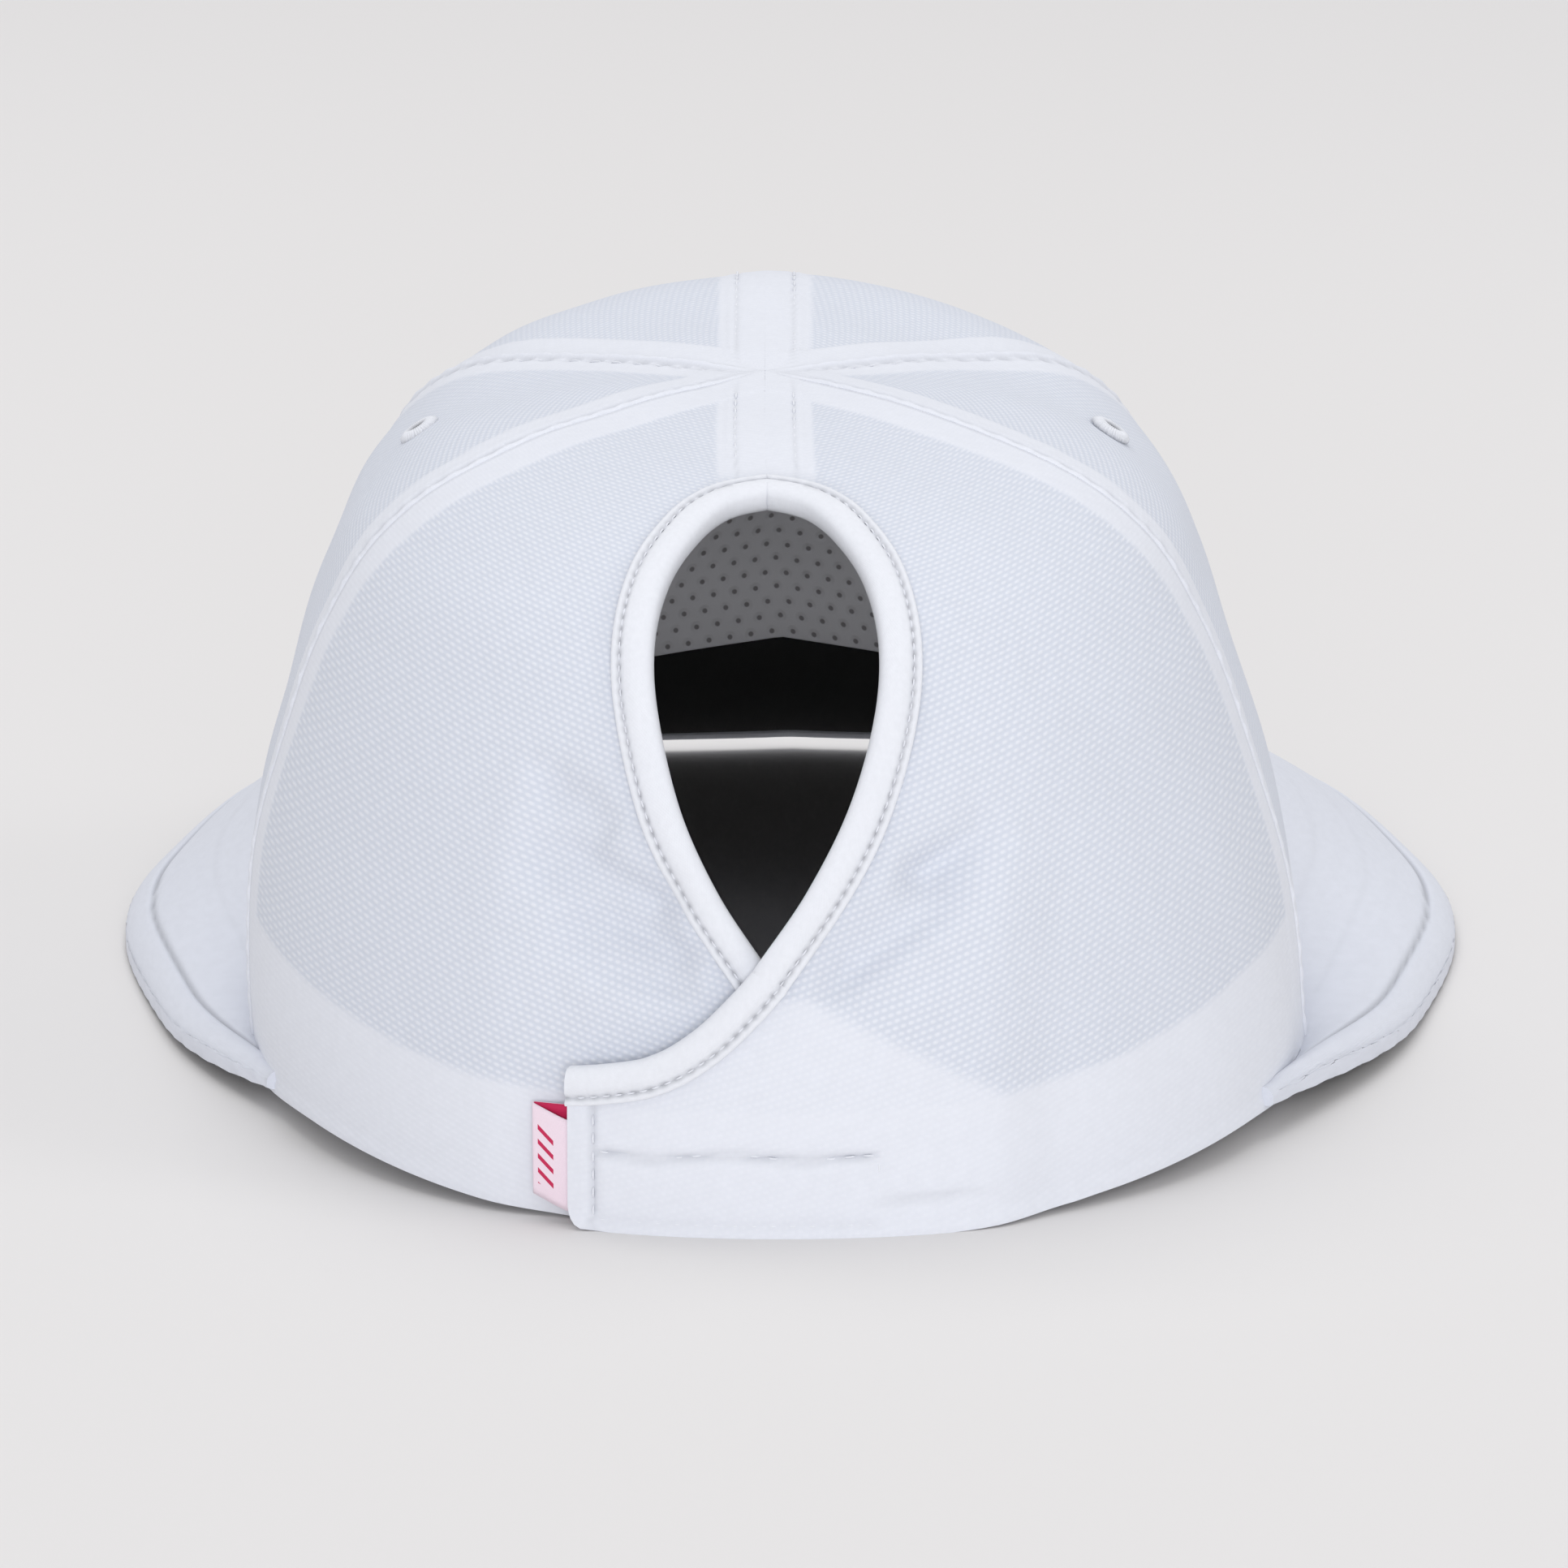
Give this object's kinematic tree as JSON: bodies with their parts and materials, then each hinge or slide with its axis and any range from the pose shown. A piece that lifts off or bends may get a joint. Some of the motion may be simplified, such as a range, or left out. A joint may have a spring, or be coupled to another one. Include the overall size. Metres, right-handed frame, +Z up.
{
  "type": "ponytail baseball cap",
  "caption": "White six-panel sport cap with a curved peak and a tall ponytail opening at the back, closed below by a hook-and-loop tab.",
  "frame": {"origin": "on the floor, at the middle of the cap's outline seen from above", "axes": "+Z up; +Y towards the back of the cap, where the ponytail opening and the tab are; -Y towards the peak; +X towards the wearer's left"},
  "size_m": [0.2078, 0.2862, 0.1077],
  "materials": {
    "birdseye_knit": "matt, thin white piqué knit of small diagonal cells",
    "binding_knit": "smooth, soft sheen, folded white jersey",
    "seam_tape": "smooth matt white tape",
    "sweatband_foam_knit": "smooth white foam-backed knit with rows of small holes",
    "hook_tape": "white nylon hooks",
    "loop_tape": "white nylon loop pile",
    "peak_cloth": "smooth white woven cloth over a board",
    "underpeak_cloth": "matt black woven cloth",
    "eyelet_thread": "satin-stitched white thread",
    "label_satin": "pale pink woven satin, crimson inside its fold"
  },
  "bodies": {
    "root": {"front_panel_left": "birdseye_knit", "front_panel_right": "birdseye_knit", "side_panel_left": "birdseye_knit", "side_panel_right": "birdseye_knit", "back_panel_left": "birdseye_knit", "back_panel_right": "birdseye_knit", "opening_binding_left": "binding_knit", "opening_binding_right": "binding_knit", "seam_tape_centre": "seam_tape", "seam_tape_front_left": "seam_tape", "seam_tape_front_right": "seam_tape", "seam_tape_back_left": "seam_tape", "seam_tape_back_right": "seam_tape", "sweatband": "sweatband_foam_knit", "hook_strip": "hook_tape", "loop_strip": "loop_tape", "peak_top": "peak_cloth", "peak_underside": "underpeak_cloth", "eyelet_left": "eyelet_thread", "eyelet_right": "eyelet_thread", "loop_label": "label_satin"}
  },
  "joints": []
}
